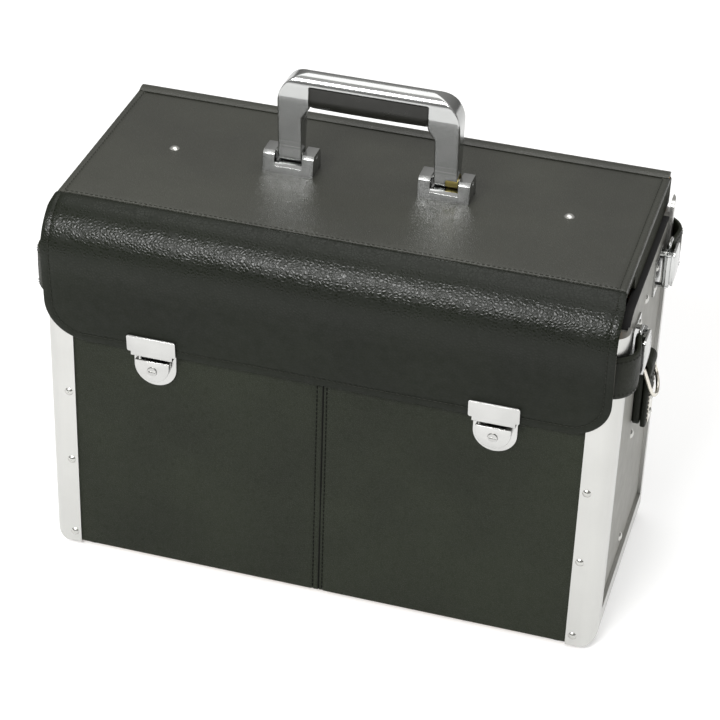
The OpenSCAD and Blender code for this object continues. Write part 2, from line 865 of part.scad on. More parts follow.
// A skirt from the side, with its lower front corner rounded
module skirt_outline(front, back, r) {
    intersection() {
        union() {
            translate([front, lid_bottom + r]) square([back - front, skirt_h]);
            translate([front + r, lid_bottom]) square([back - front - r, skirt_h]);
            translate([front + r, lid_bottom + r]) circle(r);
        }
        translate([front, lid_bottom]) square([back - front, skirt_h]);
    }
}

// The lid's top from the side: flat behind the seam, and before it under the flap's roll
module lid_slab(front, seam, back, top, r) {
    translate([seam, lid_under]) square([back - seam, top - lid_under]);
    intersection() {
        translate([front, lid_under]) square([seam - front + eps, top - lid_under]);
        translate([roll_y, roll_z]) circle(r, $fn = 96);
    }
}

module lid_board_slab() {
    lid_slab(lid_front + skin_t, seam_y + skin_t, hinge_back - skin_t, lid_board_top, flap_r - flap_t - skin_t);
}

module lid_holes() {
    at_lid_rivets() translate([0, 0, -board_t - skin_t - 1])
        cylinder(h = board_t + skin_t + 2, r = shank_r + hole_fit);
    bracket_studs(hole_fit);
}

module lid_cover() {
    color(leather) difference() {
        intersection() {
            along_x(-lid_half, lid_half) {
                lid_slab(lid_front, seam_y, hinge_back, lid_top, flap_r - flap_t);
                skirt_outline(lid_front + skirt_inset, hinge_back, skirt_r);
            }
            along_y(-far, far) rounded([-lid_half, 0], [lid_half, lid_top], lid_edge_r);
        }
        along_x(-lid_half + skin_t, lid_half - skin_t) {
            lid_board_slab();
            translate([lid_front, lid_bottom - 1]) square([hinge_back - skin_t - lid_front, skirt_h + 1 + eps]);
        }
        lid_holes();
    }
}

module lid_board() {
    half = lid_half - skin_t;
    color(wood) difference() {
        along_x(-half, half) lid_board_slab();
        lid_holes();
        corners_of_board(half);
    }
}

// The board's long edges are eased, to fit under the rounded skin
module corners_of_board(half) {
    for (side = [-1, 1]) mirror_x(side) along_y(-far, far) translate([half, lid_board_top])
        rotate(45) square(1.6, center = true);
}

module lid_side_battens() {
    color(wood) for (side = [-1, 1]) mirror_x(side)
        along_x(lid_half - skin_t - board_t, lid_half - skin_t)
            skirt_outline(lid_front + skirt_inset + skin_t, hinge_back - skin_t - board_t, skirt_r - skin_t);
}

module lid_rear_batten() {
    half = lid_half - skin_t;
    color(wood) block([-half, hinge_back - skin_t - board_t, lid_bottom], [half, hinge_back - skin_t, lid_under]);
}

module at_lid_rivets() {
    for (s = [-1, 1]) translate([s * lid_rivet_spacing / 2, handle_y, lid_top]) children();
}

module lid_rivets() {
    color(steel) at_lid_rivets() rivet(4.7, skin_t + board_t);
}

module flap_outline(r, t, low) {
    translate([roll_y, roll_z]) {
        arc_band(r, t, flap_start, flap_end);
        rotate(flap_end) translate([r - t, -eps]) square([t, low]);
    }
}

module front_flap() {
    color(leather) difference() {
        intersection() {
            along_x(-flap_w / 2, flap_w / 2) flap_outline(flap_r, flap_t, flap_drop);
            along_y(-far, seam_y) rounded([-flap_w / 2, flap_low - 2], [flap_w / 2, far], flap_corner_r);
        }
        for (side = [-1, 1]) mirror_x(side) hasp_studs(hole_fit);
    }
}

module flap_stiffener() {
    inner = flap_r - flap_t;
    color(plastic) difference() {
        intersection() {
            along_x(-flap_w / 2 + 8, flap_w / 2 - 8) translate([roll_y, roll_z]) rotate(flap_end)
                translate([inner - stiffener_t, flap_drop - 4 - stiffener_h]) square([stiffener_t, stiffener_h]);
            along_y(-far, far) rounded([-flap_w / 2 + 8, flap_low + 3], [flap_w / 2 - 8, far], flap_corner_r - 8);
        }
        for (side = [-1, 1]) mirror_x(side) hasp_studs(hole_fit);
    }
}

// Hinge

module knuckles(lid, r) {
    pitch = 2 * hinge_half / knuckle_count;
    for (i = [lid ? 1 : 0 : 2 : knuckle_count - 1])
        rod_x(-hinge_half + i * pitch + knuckle_gap / 2, -hinge_half + (i + 1) * pitch - knuckle_gap / 2,
            hinge_y, hinge_z, r);
}

module hinge_leaf(lid) {
    low = lid ? lid_bottom - leaf_t : wall_top;
    pitch = 2 * hinge_half / knuckle_count;
    difference() {
        union() {
            block([-hinge_half, hinge_back - leaf_w, low], [hinge_half, hinge_back - 0.2, low + leaf_t]);
            knuckles(lid, knuckle_r);
            for (i = [lid ? 1 : 0 : 2 : knuckle_count - 1])
                block([-hinge_half + i * pitch + knuckle_gap / 2, hinge_back - 1, low],
                    [-hinge_half + (i + 1) * pitch - knuckle_gap / 2, hinge_y, low + leaf_t]);
        }
        rod_x(-far, far, hinge_y, hinge_z, hinge_pin_r + (lid ? pin_fit : hole_fit));
    }
}

module hinge_leaf_wall() { color(steel) hinge_leaf(false); }

module hinge_leaf_lid() { color(steel) hinge_leaf(true); }

module hinge_pin() { color(steel) rod_x(-hinge_half, hinge_half, hinge_y, hinge_z, hinge_pin_r); }

module hinge_cover_wall() {
    half = strap_cx - strap_tail - 3;
    color(leather) block([-half, skin_y, wall_top - 14], [half, skin_y + 1.5, wall_top - 2]);
}

module hinge_cover_lid() {
    color(leather) block([-hinge_half, hinge_back, lid_bottom + 3], [hinge_half, hinge_back + 1.5, lid_top - 2]);
}

// Handle

module bracket_profile() {
    half = bracket_d / 2;
    polygon([[handle_y - half, lid_top], [handle_y - half + 1.4, lid_top + bracket_h - 2.5],
        [handle_y - half + 3.6, lid_top + bracket_h], [handle_y + half - 3.6, lid_top + bracket_h],
        [handle_y + half - 1.4, lid_top + bracket_h - 2.5], [handle_y + half, lid_top]]);
}

module slot_profile() {
    half = bracket_d / 2;
    floor = lid_top + slot_floor;
    polygon([[handle_y - half - 1, floor - 3.4], [handle_y - half + 3, floor], [handle_y + half - 3, floor],
        [handle_y + half + 1, floor - 3.4], [handle_y + half + 1, lid_top + bracket_h + 1],
        [handle_y - half - 1, lid_top + bracket_h + 1]]);
}

module bracket_studs(grow) {
    for (s = [-1, 1], t = [-1, 1]) rod_z(lid_under - grow, lid_top + eps, s * (leg_x + t * 15), handle_y, 2.5 + grow);
}

module handle_brackets() {
    color(chrome) {
        for (s = [-1, 1]) difference() {
            along_x(s * leg_x - bracket_w / 2, s * leg_x + bracket_w / 2) bracket_profile();
            along_x(s * leg_x - slot_w / 2, s * leg_x + slot_w / 2) slot_profile();
            rod_x(-far, far, handle_y, pivot_z, pin_r + hole_fit);
        }
        bracket_studs(0);
    }
}

module handle_pins() {
    end = bracket_w / 2 - 0.5;
    color(steel) for (s = [-1, 1]) rod_x(s * leg_x - end, s * leg_x + end, handle_y, pivot_z, pin_r);
}

// The handle from the side: round feet, a slim neck that clears the bracket, a full bar
module handle_profile() {
    neck = leg_foot_r;
    half = handle_d / 2;
    translate([handle_y, 0]) {
        translate([0, pivot_z]) circle(leg_foot_r);
        polygon([[-neck, pivot_z], [neck, pivot_z], [neck, pivot_z + 8.5], [half, pivot_z + 13.5],
            [half, handle_top - half], [-half, handle_top - half], [-half, pivot_z + 13.5],
            [-neck, pivot_z + 8.5]]);
        translate([0, handle_top - half]) circle(half);
    }
}

module handle_outline() {
    inner = handle_w / 2 - leg_w;
    difference() {
        union() {
            translate([-handle_w / 2, pivot_z - 10])
                square([handle_w, handle_top - pivot_z + 10 - handle_corner_r]);
            translate([-handle_w / 2 + handle_corner_r, pivot_z - 10])
                square([handle_w - 2 * handle_corner_r, handle_top - pivot_z + 10]);
            for (s = [-1, 1]) translate([s * (handle_w / 2 - handle_corner_r), handle_top - handle_corner_r])
                circle(handle_corner_r);
        }
        polygon([[-inner, pivot_z - 11], [inner, pivot_z - 11], [inner, grip_z - 9], [grip_half, grip_z],
            [grip_half, bar_z], [-grip_half, bar_z], [-grip_half, grip_z], [-inner, grip_z - 9]]);
    }
}

module bush_room(grow) {
    rod_x(leg_x - grow, handle_w / 2 + 1, handle_y, pivot_z, leg_foot_r + grow);
}

module handle_frame() {
    color(chrome) difference() {
        intersection() {
            along_x(-handle_w / 2, handle_w / 2) handle_profile();
            along_y(-far, far) handle_outline();
        }
        rod_x(-far, far, handle_y, pivot_z, pin_r + pin_fit);
        bush_room(hole_fit);
    }
}

module handle_bush() {
    color(brass) difference() {
        rod_x(leg_x, leg_x + bush_w, handle_y, pivot_z, leg_foot_r);
        rod_x(-far, far, handle_y, pivot_z, pin_r + pin_fit);
    }
}

module handle_grip() {
    half = handle_d / 2;
    color(plastic) along_x(-grip_half + 0.05, grip_half - 0.05) translate([handle_y, 0]) {
        translate([0, grip_z + half]) circle(half);
        translate([-half, grip_z + half]) square([handle_d, bar_z - grip_z - half]);
    }
}

base_board();
corner_feet();
wall_board(true);  // front_wall_board
mirror_x(-1) front_cover();  // front_cover_left
front_cover();  // front_cover_right
wall_board(false);  // rear_wall_board
rear_cover();
mirror_x(-1) side_panel();  // side_panel_left
side_panel();  // side_panel_right
mirror_x(-1) corner_rail(true);  // front_rail_left
corner_rail(true);  // front_rail_right
mirror_x(-1) corner_rail(false);  // rear_rail_left
corner_rail(false);  // rear_rail_right
mirror_x(-1) bottom_rail();  // bottom_rail_left
bottom_rail();  // bottom_rail_right
case_rivets();
fitting_rivets();
divider_channels();
divider_board();
mirror_x(-1) strap_place(true) strap();  // strap_front_left
strap_place(true) strap();  // strap_front_right
mirror_x(-1) strap();  // strap_rear_left
strap();  // strap_rear_right
latch_bases();
latch_pins();
latch_loops();
mirror_x(-1) strap_place(true) latch_lever();  // latch_lever_front_left
strap_place(true) latch_lever();  // latch_lever_front_right
mirror_x(-1) latch_lever();  // latch_lever_rear_left
latch_lever();  // latch_lever_rear_right
ring_pads();
mirror_x(-1) ring_tab();  // ring_tab_left
ring_tab();  // ring_tab_right
ring_plates();
mirror_x(-1) d_ring();  // d_ring_left
d_ring();  // d_ring_right
mirror_x(-1) lock_base();  // lock_base_left
lock_base();  // lock_base_right
mirror_x(-1) lock_button();  // lock_button_left
lock_button();  // lock_button_right
mirror_x(-1) lock_barrel();  // lock_barrel_left
lock_barrel();  // lock_barrel_right
hinge_leaf_wall();
hinge_leaf_lid();
hinge_pin();
hinge_cover_wall();
hinge_cover_lid();
lid_board();
lid_side_battens();
lid_rear_batten();
lid_cover();
lid_rivets();
front_flap();
flap_stiffener();
hasps();
handle_brackets();
handle_pins();
handle_frame();
handle_grip();
handle_bush();
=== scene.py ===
"""Looks of a leather-covered tool case with an aluminium frame.

Shapes are drawn in millimetres until they reach a mesh. Materials, camera and room are in metres.
X runs across the case, the front faces -Y and Z points up.
"""
import json
import math

import bmesh
import bpy
from mathutils import Matrix, Vector, noise


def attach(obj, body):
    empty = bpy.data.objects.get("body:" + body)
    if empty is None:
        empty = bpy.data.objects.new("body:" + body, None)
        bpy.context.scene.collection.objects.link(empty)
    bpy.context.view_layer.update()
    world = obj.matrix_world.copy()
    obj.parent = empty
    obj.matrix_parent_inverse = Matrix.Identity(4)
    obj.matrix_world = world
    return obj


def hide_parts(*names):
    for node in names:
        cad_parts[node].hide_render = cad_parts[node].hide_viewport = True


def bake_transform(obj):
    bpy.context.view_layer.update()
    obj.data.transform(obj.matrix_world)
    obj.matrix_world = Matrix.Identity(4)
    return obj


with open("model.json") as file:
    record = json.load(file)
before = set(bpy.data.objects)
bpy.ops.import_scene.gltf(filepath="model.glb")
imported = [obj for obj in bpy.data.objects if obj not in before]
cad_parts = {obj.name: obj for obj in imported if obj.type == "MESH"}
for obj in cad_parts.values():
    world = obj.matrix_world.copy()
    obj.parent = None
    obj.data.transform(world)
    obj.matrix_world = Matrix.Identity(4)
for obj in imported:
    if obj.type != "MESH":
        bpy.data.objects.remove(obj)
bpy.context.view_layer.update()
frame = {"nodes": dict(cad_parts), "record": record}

# Camera, fitted to the straight edges of the case in the photograph

camera = bpy.data.objects.new("camera", bpy.data.cameras.new("camera"))
bpy.context.scene.collection.objects.link(camera)
bpy.context.scene.camera = camera
camera.data.lens = 121.396
camera.data.sensor_width = 36
camera.data.clip_end = 80
camera.matrix_world = Matrix((
    (0.95871, -0.18121, 0.21919, 0.432889),
    (0.28282, 0.52638, -0.80183, -1.578277),
    (0.02992, 0.83071, 0.55590, 1.261623),
    (0, 0, 0, 1)))

# Materials

MAT = {}
GLOSS_SPREAD = 0.06
# Heights between which the flap's hanging part goes over into its roll
HANG_LOW, HANG_HIGH = 0.262, 0.292


def srgb(*levels):
    """Linear RGBA of an sRGB colour given in levels from 0 to 255."""
    linear = []
    for level in levels:
        c = level / 255
        linear.append(c / 12.92 if c <= 0.04045 else ((c + 0.055) / 1.055) ** 2.4)
    return (*linear, 1)


def shaded(color, factor):
    """A colour made darker, or lighter where the factor is above 1."""
    return (*(min(1, c * factor) for c in color[:3]), 1)


class Material:
    """A node material with a Principled shader, drawn in object coordinates."""

    def __init__(self, name, metallic=0.0, specular=0.5):
        self.material = bpy.data.materials.new(name)
        self.material.use_nodes = True
        self.tree = self.material.node_tree
        self.shader = self.tree.nodes["Principled BSDF"]
        self.set("Metallic", metallic)
        self.set("Specular IOR Level", specular)
        self.coords = self.node("ShaderNodeTexCoord").outputs["Object"]
        self.normal = None

    def set(self, socket, value):
        self.shader.inputs[socket].default_value = value

    def link(self, value, socket):
        self.tree.links.new(value, self.shader.inputs[socket])

    def node(self, kind, inputs=(), **settings):
        """A new node. An input is linked where its value is a socket, and set where it isn't."""
        made = self.tree.nodes.new(kind)
        for key, value in settings.items():
            setattr(made, key, value)
        for key, value in dict(inputs).items():
            if isinstance(value, bpy.types.NodeSocket):
                self.tree.links.new(value, made.inputs[key])
            else:
                made.inputs[key].default_value = value
        return made

    def calc(self, operation, *values, clamp=False):
        return self.node("ShaderNodeMath", enumerate(values), operation=operation,
                         use_clamp=clamp).outputs[0]

    def stretched(self, scale):
        return self.node("ShaderNodeMapping", {"Vector": self.coords, "Scale": scale}).outputs[0]

    def noise(self, scale, detail=3.0, roughness=0.55, vector=None):
        return self.node("ShaderNodeTexNoise", {
            "Vector": vector or self.coords, "Scale": scale, "Detail": detail,
            "Roughness": roughness}).outputs["Fac"]

    def ramp(self, value, low, high, to_low=0.0, to_high=1.0):
        return self.node("ShaderNodeMapRange", {
            "Value": value, "From Min": low, "From Max": high,
            "To Min": to_low, "To Max": to_high}).outputs[0]

    def mix(self, factor, a, b):
        return self.node("ShaderNodeMix", {0: factor, 6: a, 7: b}, data_type="RGBA").outputs[2]

    def bump(self, height, strength, distance):
        """Adds a bump on top of the ones before it."""
        inputs = {"Height": height, "Strength": strength, "Distance": distance}
        if self.normal:
            inputs["Normal"] = self.normal
        self.normal = self.node("ShaderNodeBump", inputs).outputs[0]

    def finish(self, color, roughness):
        self.link(color, "Base Color")
        self.link(roughness, "Roughness")
        self.link(self.normal, "Normal")
        return self.material


def leather(name, color, rough, grain, depth, specular=0.45, crease_shade=0.35, smooth_from=None):
    """Pebbled leather with creases between the pebbles, which are rougher there and darkened with painted
    shade.

    With smooth_from, a distance along Y, the pebbles fade out behind it, and they are weaker and
    duller where the flap hangs.
    """
    m = Material(name, specular=specular)
    broad = m.noise(9, 4)
    swirl = m.node("ShaderNodeTexNoise", {"Vector": m.coords, "Scale": 260}).outputs["Color"]
    warped = m.node("ShaderNodeMix", {0: 0.0004, 4: m.coords, 5: swirl}, data_type="VECTOR").outputs[1]
    edge = m.node("ShaderNodeTexVoronoi", {"Vector": warped, "Scale": grain},
                  feature="DISTANCE_TO_EDGE").outputs["Distance"]
    fold = m.ramp(edge, 0.01, 0.13, 1, 0)
    pebble = m.node("ShaderNodeMapRange", {"Value": edge, "From Max": 0.42},
                    interpolation_type="SMOOTHSTEP").outputs[0]
    gloss = m.ramp(m.noise(140), 0.3, 0.7, rough - GLOSS_SPREAD, rough + GLOSS_SPREAD)
    if smooth_from:
        _, y, z = m.node("ShaderNodeSeparateXYZ", {"Vector": m.coords}).outputs
        hang = m.ramp(z, HANG_LOW, HANG_HIGH, 1, 0)
        fade = m.ramp(y, smooth_from - 0.007, smooth_from + 0.002, 1, 0.12)
        fold = m.calc("MULTIPLY", fold, m.ramp(hang, 0, 1, 1, 0.25))
        pebble = m.calc("MULTIPLY", pebble, fade)
        pebble = m.calc("MULTIPLY", pebble, m.ramp(hang, 0, 1, 1, 0.5))
        gloss = m.calc("MULTIPLY_ADD", hang, 0.35, gloss)
    gloss = m.calc("MULTIPLY_ADD", fold, 0.25, gloss)
    base = m.mix(m.ramp(broad, 0.35, 0.65), shaded(color, 0.82), shaded(color, 1.18))
    # Painted shade: the colour is darkened in the creases between the pebbles
    base = m.mix(m.ramp(fold, 0, 1, 0, crease_shade), base, shaded(color, 0.35))
    m.bump(pebble, 1.0, depth)
    m.bump(m.noise(900), 0.3, depth * 0.2)
    m.bump(broad, 0.3, 0.0012)
    MAT[name] = m.finish(base, gloss)


def metal(name, color, rough, spread, lengthwise=None, scratches=0.05, dirt=0.12):
    """Bare metal with fine scratches, drawn out along the axis whose lengthwise scale is small."""
    m = Material(name, metallic=1.0)
    lines = m.noise(900, 4, vector=m.stretched(lengthwise) if lengthwise else None)
    base = m.mix(m.ramp(m.noise(24, 4), 0.4, 0.7), color, shaded(color, 1 - dirt))
    m.bump(lines, scratches, 0.00002)
    MAT[name] = m.finish(base, m.ramp(lines, 0.3, 0.7, rough - spread, rough + spread))


def plain(name, color, rough, specular, speck, depth, vary=0.1):
    """Plastic, rubber, board or thread: one colour in faint patches, with a fine bump."""
    m = Material(name, specular=specular)
    base = m.mix(m.ramp(m.noise(30, 4), 0.35, 0.7), color, shaded(color, 1 - vary))
    m.bump(m.noise(speck), 0.4, depth)
    MAT[name] = m.finish(base, m.ramp(m.noise(80), 0.3, 0.7, rough - GLOSS_SPREAD, rough + GLOSS_SPREAD))


def plywood(name, pale, dark):
    """Wood with its grain along X."""
    m = Material(name, specular=0.35)
    along = m.stretched((1.0, 14.0, 14.0))
    rings = m.noise(6, 5, 0.6, along)
    fibre = m.noise(160, 3, 0.6, along)
    base = m.mix(m.ramp(rings, 0.35, 0.62), pale, dark)
    base = m.mix(m.ramp(fibre, 0.3, 0.8, 0, 0.35), base, shaded(dark, 0.55))
    m.bump(fibre, 0.4, 0.0001)
    MAT[name] = m.finish(base, m.ramp(fibre, 0.3, 0.7, 0.5, 0.68))


leather("wall_leather", srgb(31, 35, 25), 0.5, 600, 0.0002, specular=0.2, crease_shade=0.25)
leather("lid_leather", srgb(43, 44, 37), 0.33, 620, 0.0001, specular=0.62, crease_shade=0.25)
leather("lid_side", srgb(50, 51, 44), 0.6, 900, 0.0001, specular=0.04, crease_shade=0.25)
leather("flap_leather", srgb(14, 18, 9), 0.27, 370, 0.00014, specular=0.22, smooth_from=-0.092)
leather("strap_leather", srgb(27, 30, 20), 0.42, 900, 0.00012, specular=0.2)
leather("cut_edge", srgb(150, 146, 136), 0.6, 1400, 0.0001)
metal("frame_aluminium", srgb(193, 193, 190), 0.34, 0.04, (1, 1, 0.02), scratches=0.1, dirt=0.04)
metal("low_aluminium", srgb(193, 193, 190), 0.34, 0.04, (1, 0.02, 1), scratches=0.1, dirt=0.04)
metal("rivet_steel", srgb(188, 188, 184), 0.2, 0.05)
metal("hinge_steel", srgb(190, 190, 188), 0.32, 0.06, (0.05, 1, 1), scratches=0.1)
metal("latch_chrome", srgb(188, 189, 188), 0.17, 0.03)
metal("ring_nickel", srgb(212, 208, 198), 0.18, 0.04)
metal("lock_chrome", srgb(190, 190, 188), 0.2, 0.03)
metal("barrel_steel", srgb(180, 180, 178), 0.3, 0.05)
metal("pin_steel", srgb(180, 180, 178), 0.3, 0.05)
metal("handle_chrome", srgb(172, 173, 172), 0.17, 0.03, scratches=0.03)
metal("bush_brass", srgb(150, 138, 84), 0.36, 0.06)
plain("panel_laminate", srgb(150, 149, 143), 0.5, 0.3, 500, 0.00008)
plain("foot_rubber", srgb(30, 30, 30), 0.7, 0.3, 300, 0.0002)
plain("grip_plastic", srgb(27, 27, 23), 0.32, 0.4, 900, 0.00004, vary=0.2)
plain("stiffener_board", srgb(48, 46, 42), 0.75, 0.3, 300, 0.0001)
plain("thread", srgb(36, 37, 31), 0.6, 0.2, 2500, 0.0001, vary=0.3)
# Near-black: thread darkened with painted shade, and the painted shade in the front seam's groove
plain("seam", srgb(12, 12, 10), 0.8, 0.1, 2500, 0.0001, vary=0.3)
plywood("wood", srgb(196, 164, 118), srgb(158, 122, 78))

for entry in frame["record"]["subparts"]:
    node = entry["node"]
    low_rail = node.startswith("bottom_rail")
    data = frame["nodes"][node].data
    data.materials.clear()
    data.materials.append(MAT["low_aluminium" if low_rail else entry["material_slot"]])

# Mesh helpers

MM = 0.001
UP = Vector((0, 0, 1))
# A distance at which a seam no longer shows
FAR = 99.0
SIDES = ((-1, "left"), (1, "right"))
# Grid lines across a seam, from its middle, so that the leather can sink in there
GROOVE = (-1.6, -0.8, 0, 0.8, 1.6)
# Length, gap and radius of the stitches
FLAP_STITCH = (2.9, 1.3, 0.34)
LID_STITCH = (2.6, 1.4, 0.22)
WALL_STITCH = (3.0, 1.0, 0.42)
STRAP_STITCH = (2.4, 1.2, 0.32)
# A stitch: place along it, and thickness and height as shares of its radius
THREAD = ((0.0, 0.35, -0.25), (0.12, 0.85, 0.1), (0.5, 1.0, 0.3), (0.88, 0.85, 0.1), (1.0, 0.35, -0.25))


def scale_mesh(bm, factor):
    bmesh.ops.scale(bm, vec=(factor, factor, factor), verts=bm.verts)


def shade(mesh, angle):
    """Shades a mesh smooth but for the edges that turn by more than an angle in degrees."""
    mesh.shade_smooth()
    mesh.set_sharp_from_angle(angle=math.radians(angle))


def new_piece(name, bm, slot, body, replaced=(), smooth=60, material=None):
    """Makes an object of a bmesh drawn in millimetres, on a CAD body."""
    mesh = bpy.data.meshes.new(name)
    bmesh.ops.recalc_face_normals(bm, faces=bm.faces)
    scale_mesh(bm, MM)
    bm.to_mesh(mesh)
    bm.free()
    obj = bpy.data.objects.new(name, mesh)
    bpy.context.scene.collection.objects.link(obj)
    mesh.materials.append(MAT[material or slot])
    shade(mesh, smooth)
    if body:
        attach(obj, body)
    if replaced:
        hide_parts(*replaced)
    return obj


def paint(obj, faces, material):
    """Gives some faces of a piece a second material."""
    obj.data.materials.append(MAT[material])
    for n in faces:
        obj.data.polygons[n].material_index = 1


def copy_of(nodes):
    """The meshes of CAD nodes together, in metres."""
    bm = bmesh.new()
    for node in nodes:
        bm.from_mesh(frame["nodes"][node].data)
    return bm


def round_edges(bm, angle, width, segments):
    """Rounds the edges that turn by more than an angle in degrees."""
    sharp = [e for e in bm.edges if len(e.link_faces) == 2 and e.calc_face_angle() > math.radians(angle)]
    bmesh.ops.bevel(bm, geom=sharp, offset=width, segments=segments, profile=0.5, affect="EDGES",
                    clamp_overlap=True)


def softened(name, nodes, slot, body, width):
    """A copy of CAD nodes with their sharp edges rounded over."""
    bm = copy_of(nodes)
    scale_mesh(bm, 1 / MM)
    bmesh.ops.remove_doubles(bm, verts=bm.verts, dist=0.002)
    bmesh.ops.dissolve_limit(bm, angle_limit=math.radians(0.8), verts=bm.verts, edges=bm.edges)
    round_edges(bm, 30, width, 3)
    new_piece(name, bm, slot, body, nodes, 30)


def cast(name, nodes, slot, body, grain, rounds, shape):
    """A copy of CAD nodes as one even mesh, with its edges worn round and its points moved by shape."""
    bm = copy_of(nodes)
    mesh = bpy.data.meshes.new(name + "_raw")
    bm.to_mesh(mesh)
    bm.free()
    raw = bpy.data.objects.new(name + "_raw", mesh)
    bpy.context.scene.collection.objects.link(raw)
    remesh = raw.modifiers.new("even", "REMESH")
    remesh.mode = "VOXEL"
    remesh.voxel_size = grain * MM
    worn = raw.modifiers.new("worn", "SMOOTH")
    worn.factor = 0.5
    worn.iterations = rounds
    bpy.context.view_layer.update()
    made = bpy.data.meshes.new_from_object(raw.evaluated_get(bpy.context.evaluated_depsgraph_get()))
    bpy.data.objects.remove(raw)
    bm = bmesh.new()
    bm.from_mesh(made)
    scale_mesh(bm, 1 / MM)
    for v in bm.verts:
        v.co = shape(v.co)
    new_piece(name, bm, slot, body, nodes, 80)


def wobble(p, size, amount):
    """Slow waves in a surface, with the size and height given."""
    return amount * noise.noise(Vector(p) / size)


def bell(distance, height, width=1.3):
    """A bell-shaped rise, at a distance from its middle."""
    return height * math.exp(-(distance / width) ** 2)


def smooth_step(value, low, high):
    t = min(1, max(0, (value - low) / (high - low)))
    return t * t * (3 - 2 * t)


def spaced(low, high, step, extra=()):
    """Values from low to high about step apart, with the extra ones between them."""
    count = max(1, round((high - low) / step))
    values = [low + (high - low) * i / count for i in range(count + 1)]
    values = [v for v in values if all(abs(v - e) > step * 0.3 for e in extra) or v in (low, high)]
    return sorted(values + [e for e in extra if low < e < high])


def seam_lines(*at):
    return [a + d for a in at for d in GROOVE]


def curve(points, parts):
    """A smooth line through points, in so many parts from each to the next."""
    line = []
    last = len(points) - 1
    for i in range(last):
        near = (points[max(0, i - 1)], points[i], points[i + 1], points[min(last, i + 2)])
        for t in (n / parts for n in range(parts)):
            line.append(tuple(
                0.5 * (2 * b + (c - a) * t + (2 * a - 5 * b + 4 * c - d) * t * t
                       + (3 * b - a - 3 * c + d) * t ** 3)
                for a, b, c, d in zip(*near)))
    return line + [points[-1]]


def add_grid(bm, points):
    """Faces over rows of points, all rows as long as the first."""
    rows = [[bm.verts.new(p) for p in row] for row in points]
    for a, b in zip(rows, rows[1:]):
        for i in range(len(a) - 1):
            bm.faces.new((a[i], a[i + 1], b[i + 1], b[i]))


def tube(bm, rings, capped=True):
    """Faces between closed rings of vertices, and over the first and the last ring."""
    for a, b in zip(rings, rings[1:]):
        for i in range(len(a)):
            j = (i + 1) % len(a)
            bm.faces.new((a[i], a[j], b[j], b[i]))
    if capped:
        bm.faces.new(rings[0][::-1])
        bm.faces.new(rings[-1])


def solid_sheet(bm, thickness, facing=0):
    """Gives an open sheet its thickness. A facing of -1 or 1 turns its front to that side of Y."""
    bmesh.ops.recalc_face_normals(bm, faces=bm.faces)
    if sum(f.normal.y for f in bm.faces) * facing < 0:
        bmesh.ops.reverse_faces(bm, faces=bm.faces)
    bmesh.ops.solidify(bm, geom=list(bm.faces), thickness=thickness)


def thicken(bm, thickness, rim):
    """Gives an open sheet its thickness and rounds the rim."""
    bmesh.ops.remove_doubles(bm, verts=bm.verts, dist=0.01)
    bmesh.ops.dissolve_degenerate(bm, edges=bm.edges, dist=0.005)
    solid_sheet(bm, thickness)
    round_edges(bm, 60, rim, 2)


def ribbon(bm, path, width, thick, lift, edge=1.2):
    """A strap along (point, outward normal, side vector), with rounded edges and a fuller middle."""
    around = 28
    rings = []
    for p, out, side in path:
        ring = []
        for k in range(around):
            a = 2 * math.pi * k / around
            u = math.copysign(abs(math.cos(a)) ** 0.28, math.cos(a))
            v = math.copysign(abs(math.sin(a)) ** 0.4, math.sin(a))
            full = lift * (1 - u * u) if v > 0 else 0
            ring.append(bm.verts.new(p + side * (u * width / 2) + out * (v * thick / 2 + full)))
        rings.append(ring)
    tube(bm, rings, capped=False)
    for ring, p, inner in ((rings[0], path[0][0], path[1][0]), (rings[-1], path[-1][0], path[-2][0])):
        away = (p - inner).normalized() * min(edge, thick * 0.35)
        cap = [bm.verts.new(p + (v.co - p) * 0.86 + away) for v in ring]
        tube(bm, [ring, cap], capped=False)
        bm.faces.new(cap)


def stitch_row(bm, points, normals, stitch):
    """Threads along a line of points, a little above the leather. The normals may be one for all."""
    length, gap, radius = stitch
    if isinstance(normals, Vector):
        normals = [normals] * len(points)
    steps = [0.0]
    for a, b in zip(points, points[1:]):
        steps.append(steps[-1] + (b - a).length)
    total = steps[-1]
    count = int((total - gap) / (length + gap))
    pitch = total / count

    def at(d):
        """The point and the normal at a distance along the line."""
        for i in range(len(steps) - 1):
            if d <= steps[i + 1] or i == len(steps) - 2:
                t = (d - steps[i]) / max(1e-9, steps[i + 1] - steps[i])
                return points[i].lerp(points[i + 1], t), normals[i].lerp(normals[i + 1], t).normalized()

    for n in range(count):
        start = n * pitch + (pitch - length) / 2
        a, normal_a = at(start)
        b, normal_b = at(start + length)
        up = (normal_a + normal_b).normalized()
        side = (b - a).normalized().cross(up).normalized()
        rings = []
        for t, thickness, height in THREAD:
            c = a.lerp(b, t) + up * (height * radius)
            turns = [i * math.pi / 3 for i in range(6)]
            rings.append([bm.verts.new(c + (side * math.cos(q) + up * math.sin(q)) * radius * thickness)
                          for q in turns])
        tube(bm, rings)


# Sizes shared with the CAD

HALF_W, HALF_D = 230.0, 100.0
SKIN_Y = 98.5
WALL_TOP = 300.0
LID_X, LID_FRONT, LID_BACK = 223.0, -85.0, 101.0
LID_LOW, LID_UNDER, LID_TOP = 303.0, 320.0, 327.0
SEAM_Y = -80.0
ROLL_Y, ROLL_Z, ROLL_R, LEAN = -73.2, 287.0, 40.0, math.radians(5)
FLAP_X, FLAP_T, FLAP_DROP, FLAP_R = 225.0, 2.2, 73.0, 33.0
STRAP_W, STRAP_T = 36.0, 3.5
HANDLE_Y = 11.0

# Front flap: a place on it is x across the case and s along the leather from its seam on the lid

ROLL_START = math.acos((SEAM_Y - ROLL_Y) / ROLL_R)
ROLL_LENGTH = ROLL_R * (math.pi + LEAN - ROLL_START)
FLAP_LENGTH = ROLL_LENGTH + FLAP_DROP
# The waves in the leather reach their full height this far from the seam
CALM = 14.0
# The hem's stitches run this far inside the edge
HEM = 6.5
HEM_S = FLAP_LENGTH - HEM
